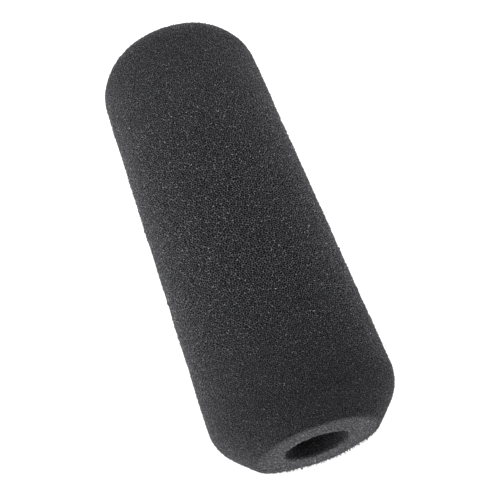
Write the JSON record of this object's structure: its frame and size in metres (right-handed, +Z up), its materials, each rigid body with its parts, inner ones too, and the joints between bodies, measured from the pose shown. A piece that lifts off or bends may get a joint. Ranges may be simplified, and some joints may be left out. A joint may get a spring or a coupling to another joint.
{
  "type": "microphone windscreen",
  "caption": "Dark foam windscreen for a shotgun microphone: a straight foam cylinder with a rounded nose, a bevelled mouth end and a deep round bore that grips the microphone's tube.",
  "frame": {"origin": "centre of the bore's mouth, on the flat mouth face", "axes": "+Y along the bore from the mouth to the nose, +Z up as the windscreen lies on its side, +X to the right when looking along +Y"},
  "size_m": [0.06, 0.16, 0.0597],
  "materials": {
    "body_foam": "matt open-cell polyurethane foam, charcoal black, fine cells",
    "plug_foam": "matt open-cell polyurethane foam, charcoal black, fine cells",
    "glue": "dull black flexible contact adhesive"
  },
  "bodies": {
    "root": {"foam_body": "body_foam", "nose_plug": "plug_foam", "glue_film": "glue"}
  },
  "joints": []
}
